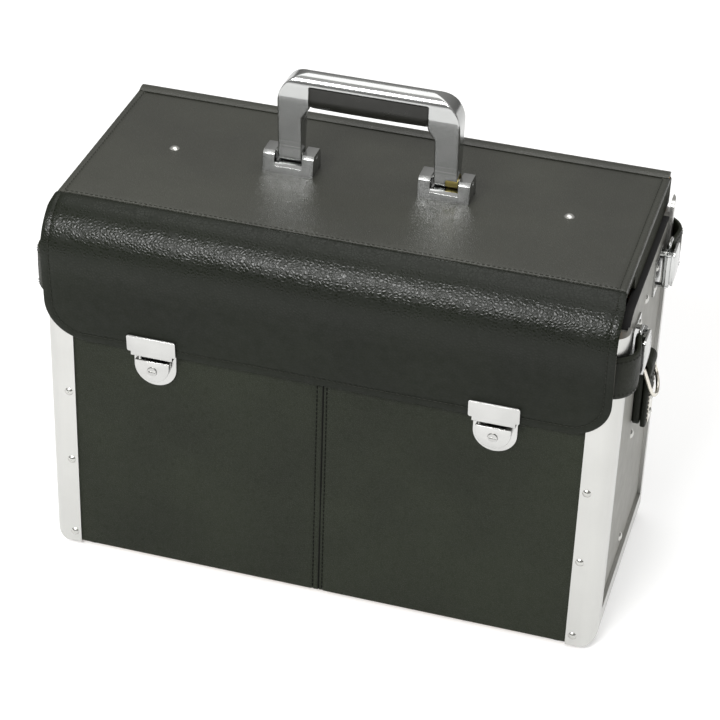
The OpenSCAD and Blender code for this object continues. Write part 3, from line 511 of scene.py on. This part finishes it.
# Where the stiffener inside ends
STIFFENER_S = FLAP_LENGTH - 56


def flap_point(s):
    """A point in the middle of the flap's outer face, and its outward normal."""
    a = ROLL_START + min(s, ROLL_LENGTH) / ROLL_R
    n = Vector((0, math.cos(a), math.sin(a)))
    down = Vector((0, math.sin(LEAN), -math.cos(LEAN)))
    return Vector((0, ROLL_Y, ROLL_Z)) + n * ROLL_R + down * max(0, s - ROLL_LENGTH), n


def flap_half(s, inset=0.0):
    """Half the flap's width at s, inside its rounded lower corners. It starts as wide as the lid."""
    d = FLAP_LENGTH - inset - s
    r = FLAP_R - inset
    half = min(FLAP_X - inset, LID_X - 0.3 + 0.16 * s)
    return half if d > r else half - r + math.sqrt(max(0, r * r - (r - d) ** 2))


def flap_wave(x, s):
    """The flap's slow waves, which die out at its seam."""
    return wobble((x, s * 1.4, 3), 60, 0.55) * min(1, s / CALM)


def flap_height(x, s, half, hem_half):
    """How far the flap's face stands off its plain form."""
    low = abs(s - HEM_S) if abs(x) < hem_half + 2 else FAR
    hem = min(abs(abs(x) - hem_half), low) if s < HEM_S + 2 else FAR
    rim = min(half - abs(x), FLAP_LENGTH - s)
    out = flap_wave(x, s) + wobble((x, s, 9), 19, 0.16) * min(1, s / CALM)
    out -= bell(hem, 0.4) + 0.5 * math.exp(-rim / 1.6)
    out += bell(s - 3, 0.45, 3) - bell(s, 0.7, 1.2)
    return out + bell(s - STIFFENER_S, 0.35, 2.2)


def build_flap():
    corner = [FLAP_LENGTH - FLAP_R * (1 - math.sin(math.pi / 2 * i / 12)) for i in range(1, 13)]
    along = spaced(0, FLAP_LENGTH - FLAP_R, 3.0, (0.5, 1.1, 1.8)) + corner
    across = spaced(-1, 1, 0.016)
    rows = []
    for s in sorted(set(along + seam_lines(HEM_S))):
        p, n = flap_point(s)
        half = flap_half(s)
        hem_half = flap_half(min(s, HEM_S), HEM)
        seam = hem_half / half
        us = [u for u in across if abs(abs(u) - seam) > 0.009]
        us += [k * (seam + d / half) for k in (-1, 1) for d in GROOVE]
        rows.append([Vector((u * half, p.y, p.z)) + n * flap_height(u * half, s, half, hem_half)
                     for u in sorted(us)])
    # A grid needs rows of one length, so the longer ones leave out a point
    width = min(len(row) for row in rows)
    rows = [[row[round(i * (len(row) - 1) / (width - 1))] for i in range(width)] for row in rows]
    bm = bmesh.new()
    add_grid(bm, rows)
    thicken(bm, FLAP_T, 0.5)
    rim = [n for n, f in enumerate(bm.faces)
           if abs(f.normal.x) > 0.55 and abs(f.calc_center_median().x) > 200]
    flap = new_piece("flap_sheet", bm, "flap_leather", "lid", ("front_flap",), 50)
    paint(flap, rim, "cut_edge")

    straight = FLAP_LENGTH - FLAP_R
    line = [(3 + (straight - 3) * i / 40, FLAP_X - HEM) for i in range(41)]
    for a in (math.pi / 2 * i / 13 for i in range(1, 14)):
        line.append((straight + (FLAP_R - HEM) * math.sin(a), FLAP_X - FLAP_R + (FLAP_R - HEM) * math.cos(a)))
    points = []
    normals = []
    for s, x in [(s, -x) for s, x in line] + line[::-1]:
        p, n = flap_point(s)
        points.append(Vector((x, p.y, p.z)) + n * (flap_wave(x, s) - 0.12))
        normals.append(n)
    bm = bmesh.new()
    stitch_row(bm, points, normals, FLAP_STITCH)
    new_piece("flap_stitches", bm, "flap_leather", "lid", material="thread")


build_flap()

# Lid

LID_SEAM_X, LID_SEAM_BACK = 217.0, 94.0
LID_ROUND = 3.2
# Where the lid's side boards start, and how round their lower front corner is
BOARD_Y, BOARD_R = LID_FRONT + 40, 12.0


def box_sheet(bm, xs, ys, zs):
    """A box without its bottom, as grids over its five faces."""
    add_grid(bm, [[Vector((x, y, zs[-1])) for x in xs] for y in ys])
    for x in (xs[0], xs[-1]):
        add_grid(bm, [[Vector((x, y, z)) for y in ys] for z in zs])
    for y in (ys[0], ys[-1]):
        add_grid(bm, [[Vector((x, y, z)) for x in xs] for z in zs])
    bmesh.ops.remove_doubles(bm, verts=bm.verts, dist=0.01)


def skirt_low(y):
    """Lower edge of the lid's leather at y."""
    if y < SEAM_Y:
        return LID_UNDER - 0.4
    if y < BOARD_Y:
        return LID_UNDER
    if y < BOARD_Y + BOARD_R:
        return LID_LOW + BOARD_R - math.sqrt(BOARD_R ** 2 - (BOARD_Y + BOARD_R - y) ** 2)
    return LID_LOW


def lid_seam(p):
    """Distance from a point of the lid's top to the nearest seam."""
    x = abs(p.x)
    side = abs(x - LID_SEAM_X) if SEAM_Y < p.y < LID_SEAM_BACK else FAR
    back = abs(p.y - LID_SEAM_BACK) if x < LID_SEAM_X else FAR
    return min(abs(p.y - SEAM_Y), side, back)


def lid_point(flat):
    """A point of the lid's leather, for one on a plain box."""
    p = flat.copy()
    x0, y0, z0 = LID_X - LID_ROUND, LID_BACK - LID_ROUND, LID_TOP - LID_ROUND
    side = abs(p.x) - x0
    top = p.z - z0
    if side > 0 and top > 0:
        scale = max(side, top) / math.hypot(side, top)
        p.x = math.copysign(x0 + side * scale, p.x)
        p.z = z0 + top * scale
    back = p.y - y0
    top = p.z - z0
    if back > 0 and top > 0:
        scale = max(back, top) / math.hypot(back, top)
        p.y = y0 + back * scale
        p.z = z0 + top * scale
    if flat.z >= LID_TOP - 0.01:
        edge = min(LID_X - abs(p.x), p.y - SEAM_Y, LID_BACK - p.y)
        p.z += 0.5 * (1 - math.exp(-max(0, edge - 3) / 20)) + wobble(p, 70, 0.3) - bell(lid_seam(p), 0.6)
        p.z -= 0.8 * min(1, max(0, (p.y - LID_SEAM_BACK) / 1.6))
    if p.y < SEAM_Y:
        p.z = min(p.z, ROLL_Z + math.sqrt((ROLL_R - FLAP_T - 0.4) ** 2 - (p.y - ROLL_Y) ** 2))
    p.z = max(p.z, skirt_low(p.y))
    return p


def build_lid():
    bm = bmesh.new()
    near_side = seam_lines(-LID_SEAM_X, LID_SEAM_X) + [-222.2, -221, 221, 222.2]
    near_front = [-84.2, -83, -81.5, -80.4, -79.9, -79.4, -78.6, -77.6]
    near_board = [-46, -44.9, -44, -42, -39, -36]
    near_back = seam_lines(LID_SEAM_BACK) + [99, 100.2]
    box_sheet(bm, spaced(-LID_X, LID_X, 5, near_side),
              spaced(LID_FRONT, LID_BACK, 4, near_front + near_board + near_back),
              spaced(LID_LOW, LID_TOP, 3, [320, 321, 322.5, 324, 325.3, 326.3]))
    for v in bm.verts:
        v.co = lid_point(v.co)
    thicken(bm, 1.0, 0.3)
    sides = [n for n, f in enumerate(bm.faces) if abs(f.calc_center_median().x) > LID_X - 1.3
             and f.calc_center_median().z < LID_TOP - 2.5]
    lid = new_piece("lid_skin", bm, "lid_leather", "lid", ("lid_cover",), 50)
    paint(lid, sides, "lid_side")

    # Leather over the front ends and lower edges of the side boards
    y0, z0 = BOARD_Y - 0.2, LID_LOW - 0.1
    turns = [math.radians(a) for a in range(0, 91, 9)]
    edge = [(y0, 320.4), (y0, 317)]
    edge += [(y0 + BOARD_R * (1 - math.cos(a)), z0 + BOARD_R * (1 - math.sin(a))) for a in turns]
    edge += [(-20, z0), (40, z0), (94, z0)]
    bm = bmesh.new()
    for k in (-1, 1):
        add_grid(bm, [[Vector((k * x, y, z)) for x in (215.6, 218, 220.5, 222.8)] for y, z in edge])
    solid_sheet(bm, 0.25)
    new_piece("skirt_edges", bm, "lid_leather", "lid", smooth=50, material="lid_side")

    x, z = LID_SEAM_X, LID_TOP + 0.35
    front, back = SEAM_Y + 1.5, LID_SEAM_BACK - 0.4
    corners = [Vector((-x, back, z)), Vector((-x, front, z)), Vector((x, front, z)), Vector((x, back, z)),
               Vector((-x, back, z))]
    bm = bmesh.new()
    for a, b in zip(corners, corners[1:]):
        line = [a.lerp(b, i / 40) for i in range(41)]
        stitch_row(bm, [p + UP * (wobble(p, 70, 0.3) - 0.3) for p in line], UP, LID_STITCH)
    new_piece("lid_stitches", bm, "lid_leather", "lid", material="thread")


build_lid()

# Walls

SKIN_X = 216.5
SKIN_LOW = 4.2
# The corner rails hold the skins down outside of this
RAIL_X = 206.0
SEAM_LEFT, SEAM_RIGHT = -5.0, 2.8


def build_wall(name, x0, x1, facing, replaced, seams=()):
    """A leather skin from x0 to x1, a little puffed between the rails and sunk at its seams."""
    split = [x for x in (-1, -0.3, 0.3, 1) if seams and x0 < x < x1]
    xs = spaced(x0, x1, 5, seam_lines(*seams) + split)
    rows = []
    for z in spaced(SKIN_LOW, WALL_TOP - 0.3, 6):
        row = []
        for x in xs:
            edge = max(0, min(RAIL_X - abs(x), z - SKIN_LOW + 0.2, WALL_TOP - z))
            puff = 0.45 * (1 - math.exp(-edge / 9)) + wobble((x, z, 5), 55, 0.22) * min(1, edge / 10)
            for s in seams:
                puff -= bell(x - s, 0.7, 1.1) + 1.2 * math.exp(-abs(x) / 0.8)
            row.append(Vector((x, facing * (SKIN_Y + puff), z)))
        rows.append(row)
    bm = bmesh.new()
    add_grid(bm, rows)
    solid_sheet(bm, 0.9, facing)
    new_piece(name, bm, "wall_leather", "case", replaced, 50)


def build_wall_seam():
    """The stitches on both sides of the front's middle, in a near-black thread that also carries painted
    shade along them, and a dark strip of painted shade in the groove between its skins.
    """
    bm = bmesh.new()
    for x in (SEAM_LEFT, SEAM_RIGHT):
        line = [Vector((x, 0.05 - SKIN_Y, z)) for z in spaced(6, 298, 6)]
        stitch_row(bm, line, Vector((0, -1, 0)), WALL_STITCH)
    new_piece("wall_stitches", bm, "wall_leather", "case", material="seam")
    # Painted shade: a near-black strip at the bottom of the groove between the skins
    bm = bmesh.new()
    add_grid(bm, [[Vector((x, -98.3 - 0.12 * abs(x), z)) for x in (-0.7, 0, 0.7)]
                  for z in spaced(5, 298, 12)])
    solid_sheet(bm, 0.3)
    new_piece("wall_seam_shade", bm, "wall_leather", "case", material="seam")


build_wall("front_skin_left", -SKIN_X, 0, -1, ("front_cover_left",), (SEAM_LEFT,))
build_wall("front_skin_right", 0, SKIN_X, -1, ("front_cover_right",), (SEAM_RIGHT,))
build_wall("rear_skin", -SKIN_X, SKIN_X, 1, ("rear_cover",))
build_wall_seam()

# A black strip along the top and the round front corner of the side panels: painted shade of the gap under
# the lid and the flap

CORNER_Y, CORNER_Z, CORNER_R = -56.7, 272.0, 30.0
# Degrees above level at which the shade strip starts on the corner, and where it ends at the back
GAP_SHADE_START = 43
GAP_SHADE_BACK = 79.0


def build_gap_shade():
    outline = []
    for a in (math.radians(degrees) for degrees in range(GAP_SHADE_START, 90, 3)):
        n = Vector((0, -math.cos(a), math.sin(a)))
        outline.append((Vector((0, CORNER_Y, CORNER_Z)) + n * CORNER_R, n))
    outline += [(Vector((0, y, CORNER_Z + CORNER_R)), UP) for y in spaced(CORNER_Y, GAP_SHADE_BACK, 6)]
    # x and height over the panel's edge, round the shade strip
    section = [(220.8, 0.05), (220.8, 0.35), (221.2, 0.5), (226.9, 0.5), (227.4, 0.2), (227.5, -0.4),
               (227.5, -1.4), (227.1, -1.5), (227.05, 0.05)]
    for sx, side in SIDES:
        bm = bmesh.new()
        tube(bm, [[bm.verts.new(p + n * h + Vector((sx * x, 0, 0))) for x, h in section]
                  for p, n in outline])
        # Painted shade: a black piece over the panel's top edge, where the gap under the lid is dark
        new_piece(f"panel_gap_shade_{side}", bm, "foot_rubber", "case", smooth=40)


build_gap_shade()

# Straps

# Middle of the bend round the corner, inwards from the case's side, and its radius
BEND_IN, BEND_R = 13.4, 20.0
# The strap's part on the wall, and where it steps from the skin up onto the rail
STRAP_ON_WALL = 38.0
STEP_LOW, STEP_HIGH = 197.0, 206.0
# It leans in by this angle on the side and ends at this distance from the case's middle
STRAP_TOE = math.radians(10)
STRAP_END_Y = 62.5


def strap_path():
    """Points along the middle of the rear right strap at height 0, and their outward normals."""
    over_skin = SKIN_Y + STRAP_T / 2 + 0.4
    over_rail = HALF_D + STRAP_T / 2 + 0.15
    x0, y0 = HALF_W - BEND_IN, over_rail - BEND_R
    path = []
    for x in spaced(x0 - STRAP_ON_WALL, x0, 2.5):
        y = over_skin + (over_rail - over_skin) * smooth_step(x, STEP_LOW, STEP_HIGH)
        path.append((Vector((x, y, 0)), Vector((0, 1, 0))))
    for i in range(1, 21):
        a = math.pi / 2 + (-STRAP_TOE - math.pi / 2) * i / 20
        n = Vector((math.cos(a), math.sin(a), 0))
        path.append((Vector((x0, y0, 0)) + n * BEND_R, n))
    p, n = path[-1]
    along = Vector((-math.sin(STRAP_TOE), -math.cos(STRAP_TOE), 0))
    run = (y0 - BEND_R * math.sin(STRAP_TOE) - STRAP_END_Y) / math.cos(STRAP_TOE)
    return path + [(p + along * (run * i / 7), n) for i in range(1, 8)]


def build_strap(end, sy, height, side, sx):
    mirror = Vector((sx, sy, 1))
    path = [(p * mirror + UP * height, n * mirror, UP) for p, n in strap_path()]
    bm = bmesh.new()
    ribbon(bm, path, STRAP_W, STRAP_T, 0.5)
    # The end that is turned round the wire loop
    levels = spaced(0.6 - STRAP_W / 2, STRAP_W / 2 - 0.6, 4)
    rings = []
    for z in levels:
        r = 2.4 if z in (levels[0], levels[-1]) else 3.2
        turns = [2 * math.pi * i / 20 for i in range(20)]
        rings.append([bm.verts.new(path[-1][0] + Vector((math.cos(a) * r, math.sin(a) * r, z)))
                      for a in turns])
    tube(bm, rings)
    new_piece(f"strap_{end}_{side}_sewn", bm, "strap_leather", "case", (f"strap_{end}_{side}",))
    bm = bmesh.new()
    for z in (3.5 - STRAP_W / 2, STRAP_W / 2 - 3.5):
        line = [p + n * (STRAP_T / 2 + 0.45) + UP * z for p, n, _ in path]
        stitch_row(bm, line, [n for _, n, _ in path], STRAP_STITCH)
    new_piece(f"strap_{end}_{side}_stitches", bm, "strap_leather", "case", material="thread")


for end, sy, height in (("front", -1, 263), ("rear", 1, 273)):
    for sx, side in SIDES:
        build_strap(end, sy, height, side, sx)

# Ring tabs

PAD_X, PAD_W, PAD_T = 230.4, 22.6, 6.6
TAB_X, TAB_W, TAB_T = 236.2, 22.8, 4.6
# Middle of the ring's bar, and the distance from there to the middle of the tab round it
RING_X, RING_Z, RING_WRAP = 233.2, 217.6, 3.9
TAB_STITCH_X, TAB_STITCH_Y, TAB_STITCH_TOP = 238.9, 8.8, 208.0


def build_ring_tab(side, sx):
    """The pad under the tab, and the tab that is folded round the ring's bar."""
    out = Vector((sx, 0, 0))
    across = Vector((0, 1, 0))
    bm = bmesh.new()
    path = [(out * PAD_X + UP * z, out, across) for z in spaced(165.8, 210.6, 4)]
    ribbon(bm, path, PAD_W, PAD_T, 0.1, 2.4)
    new_piece(f"ring_pad_{side}", bm, "strap_leather", "case", ("ring_pads",) if sx > 0 else ())
    bm = bmesh.new()
    path = [(out * TAB_X + UP * z, out, across) for z in spaced(162.8, 211, 4)]
    for a in (math.radians(-8 + 225 * i / 14) for i in range(15)):
        n = out * math.cos(a) + UP * math.sin(a)
        path.append((out * RING_X + UP * RING_Z + n * RING_WRAP, n, across))
    ribbon(bm, path, TAB_W, TAB_T, 0.25, 1.6)
    new_piece(f"ring_tab_{side}_sewn", bm, "strap_leather", "case", (f"ring_tab_{side}",))
    bm = bmesh.new()
    for y in (-TAB_STITCH_Y, TAB_STITCH_Y):
        line = [Vector((sx * TAB_STITCH_X, y, z)) for z in spaced(166, 210, 4)]
        stitch_row(bm, line, out, STRAP_STITCH)
    line = [Vector((sx * (TAB_STITCH_X + 0.05), y, TAB_STITCH_TOP))
            for y in spaced(-TAB_STITCH_Y, TAB_STITCH_Y, 3)]
    stitch_row(bm, line, out, STRAP_STITCH)
    new_piece(f"ring_tab_{side}_stitches", bm, "strap_leather", "case", material="thread")


for sx, side in SIDES:
    build_ring_tab(side, sx)

# Hinge strip

STRIP_Y = 101.2
# Half the strip's width on the wall and on the lid
STRIP_LOW, STRIP_HIGH = 175.0, 221.5


def build_hinge_strip():
    """Leather from the rear wall over the hinge leaves onto the lid, wider over the lid."""
    profile = [(100.3, 286.3), (100.4, 292), (101.3, 296), (103.8, 298.6), (106.8, 301.5), (108.4, 306),
               (108.9, 312), (108.9, 318), (108.4, 323), (106.6, 326.8), (102.8, 328.6), (98.2, 328.5),
               (94.4, 327.3)]
    rows = []
    for y, z in curve(profile, 4):
        half = STRIP_LOW + (STRIP_HIGH - STRIP_LOW) * smooth_step(z, 297, 304)
        row = []
        for i in range(75):
            x = half * (i / 37 - 1)
            bulge = y - STRIP_Y + wobble((x, z, 2), 30, 0.4)
            share = 1 - 0.5 * math.exp(-(half - abs(x)) / 2)
            row.append(Vector((x, STRIP_Y + bulge * share if z < 326 else y, z)))
        rows.append(row)
    bm = bmesh.new()
    add_grid(bm, rows)
    solid_sheet(bm, 1.1, 1)
    strip = new_piece("hinge_strip", bm, "lid_leather", None, ("hinge_cover_wall", "hinge_cover_lid"))
    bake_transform(strip)


build_hinge_strip()

# Handle

# The legs' heights, and half their depth there
LEG_LOW, LEG_HIGH = 349.7, 395.0
LEG_THIN, LEG_THICK = 5.8, 9.5
# Half the grip's length, the middle of its round underside, its flat top and its depth
GRIP_X, GRIP_Z, GRIP_TOP, GRIP_DEPTH = 47.0, 395.4, 404.8, 10.9


def slim_leg(p):
    """The legs narrow evenly from the bar down to the brackets."""
    if not LEG_LOW < p.z < LEG_HIGH:
        return p
    up = p.z - LEG_LOW
    wanted = LEG_THIN + (LEG_THICK - LEG_THIN) * up / (LEG_HIGH - LEG_LOW)
    now = LEG_THIN + (LEG_THICK - LEG_THIN) * min(1, up / 5)
    return Vector((p.x, HANDLE_Y + (p.y - HANDLE_Y) * wanted / now, p.z))


def build_grip():
    """The black grip: flat on top, round and a little fuller in the middle below."""
    bm = bmesh.new()
    rings = []
    for x in [-47, -46.6, -45.8] + spaced(-44, 44, 4) + [45.8, 46.6, 47]:
        end = 1 - 0.05 * max(0, (abs(x) - 45.4) / 1.6)
        depth = GRIP_DEPTH + 0.5 * (1 - (x / GRIP_X) ** 2)
        low = [(HANDLE_Y + LEG_THICK * end * math.cos(a), GRIP_Z + depth * end * math.sin(a))
               for a in (math.pi * (1 + i / 20) for i in range(21))]
        section = [(low[0][0], GRIP_TOP)] + low + [(low[-1][0], GRIP_TOP)]
        rings.append([bm.verts.new((x, y, z)) for y, z in section])
    tube(bm, rings)
    new_piece("grip_shell", bm, "grip_plastic", "handle", ("handle_grip",), 50)


build_grip()
cast("handle_bow", ["handle_frame"], "handle_chrome", "handle", 0.6, 9, slim_leg)
softened("handle_feet", ["handle_brackets"], "handle_chrome", "lid", 0.9)

# Other metal parts

softened("hasp_plates", ["hasps"], "lock_chrome", "lid", 0.35)
for _, side in SIDES:
    softened(f"lock_plate_{side}", [f"lock_base_{side}"], "lock_chrome", "case", 0.35)
    softened(f"lock_cap_{side}", [f"lock_button_{side}"], "lock_chrome", f"lock_button_{side}", 0.35)
    for end in ("front", "rear"):
        softened(f"latch_{end}_{side}", [f"latch_lever_{end}_{side}"], "latch_chrome",
                 f"lever_{end}_{side}", 0.25)

for name in ("case_rivets", "fitting_rivets", "lid_rivets", "d_ring_left", "d_ring_right", "latch_loops",
             "latch_bases", "handle_bush", "lock_barrel_left", "lock_barrel_right", "latch_pins",
             "handle_pins", "hinge_leaf_wall", "hinge_leaf_lid", "ring_plates", "corner_feet",
             "front_rail_left", "front_rail_right", "rear_rail_left", "rear_rail_right",
             "bottom_rail_left", "bottom_rail_right"):
    shade(frame["nodes"][name].data, 32)

# Room

FLOOR_HALF = 25.0
# Colours that make the floor just white in the picture, with the light that falls on it
FLOOR_COLOR = (0.7, 0.7, 0.7, 1)
FLOOR_GLOW = (0.36, 0.36, 0.36, 1)


def build_floor():
    """A pale floor that shows white far away, also in the metal, and keeps the case's shadow."""
    bm = bmesh.new()
    bmesh.ops.create_grid(bm, x_segments=2, y_segments=2, size=FLOOR_HALF)
    mesh = bpy.data.meshes.new("floor")
    bm.to_mesh(mesh)
    bm.free()
    floor = bpy.data.objects.new("floor", mesh)
    bpy.context.scene.collection.objects.link(floor)
    floor.location.z = -0.0005
    paper = Material("floor_paper", specular=0.1)
    rays = paper.node("ShaderNodeLightPath").outputs
    shown = paper.calc("ADD", rays["Is Camera Ray"], rays["Is Glossy Ray"])
    shown = paper.calc("ADD", shown, rays["Is Transmission Ray"], clamp=True)
    away = paper.node("ShaderNodeVectorMath", {0: paper.coords}, operation="LENGTH").outputs["Value"]
    paper.link(paper.calc("MULTIPLY", shown, paper.ramp(away, 0.5, 4, 1, 2)), "Emission Strength")
    paper.set("Emission Color", FLOOR_GLOW)
    paper.set("Base Color", FLOOR_COLOR)
    paper.set("Roughness", 0.8)
    mesh.materials.append(paper.material)


def build_world():
    """A sky that is dim at the horizon and bright overhead."""
    world = bpy.data.worlds.new("studio")
    world.use_nodes = True
    nodes = world.node_tree.nodes
    links = world.node_tree.links
    where = nodes.new("ShaderNodeTexCoord")
    parts = nodes.new("ShaderNodeSeparateXYZ")
    height = nodes.new("ShaderNodeMapRange")
    for key, value in (("From Min", 0.0), ("From Max", 0.85), ("To Min", 0.16), ("To Max", 0.68)):
        height.inputs[key].default_value = value
    links.new(where.outputs["Generated"], parts.inputs["Vector"])
    links.new(parts.outputs["Z"], height.inputs["Value"])
    sky = nodes["Background"]
    sky.inputs["Color"].default_value = (1.0, 0.99, 0.97, 1)
    links.new(height.outputs[0], sky.inputs["Strength"])
    bpy.context.scene.world = world


def area_light(name, at, target, size, energy):
    lamp = bpy.data.lights.new(name, "AREA")
    lamp.shape = "RECTANGLE"
    lamp.size, lamp.size_y = size
    lamp.energy = energy
    obj = bpy.data.objects.new(name, lamp)
    bpy.context.scene.collection.objects.link(obj)
    obj.location = at
    obj.rotation_euler = (Vector(target) - Vector(at)).to_track_quat("-Z", "Y").to_euler()


build_floor()
build_world()
bpy.context.scene.view_settings.view_transform = "Standard"
area_light("overhead", (0.1, 0.15, 2.4), (0, 0, 0.2), (2.4, 1.6), 24)
area_light("left", (-2.2, -1.4, 1.6), (0, 0, 0.2), (1.6, 1.8), 5)
area_light("right", (2.3, -0.2, 1.4), (0, 0, 0.2), (1.0, 1.4), 5)
area_light("key", (-0.4, -1.7, 1.66), (0, -0.1, 0.3), (1.1, 0.5), 50)
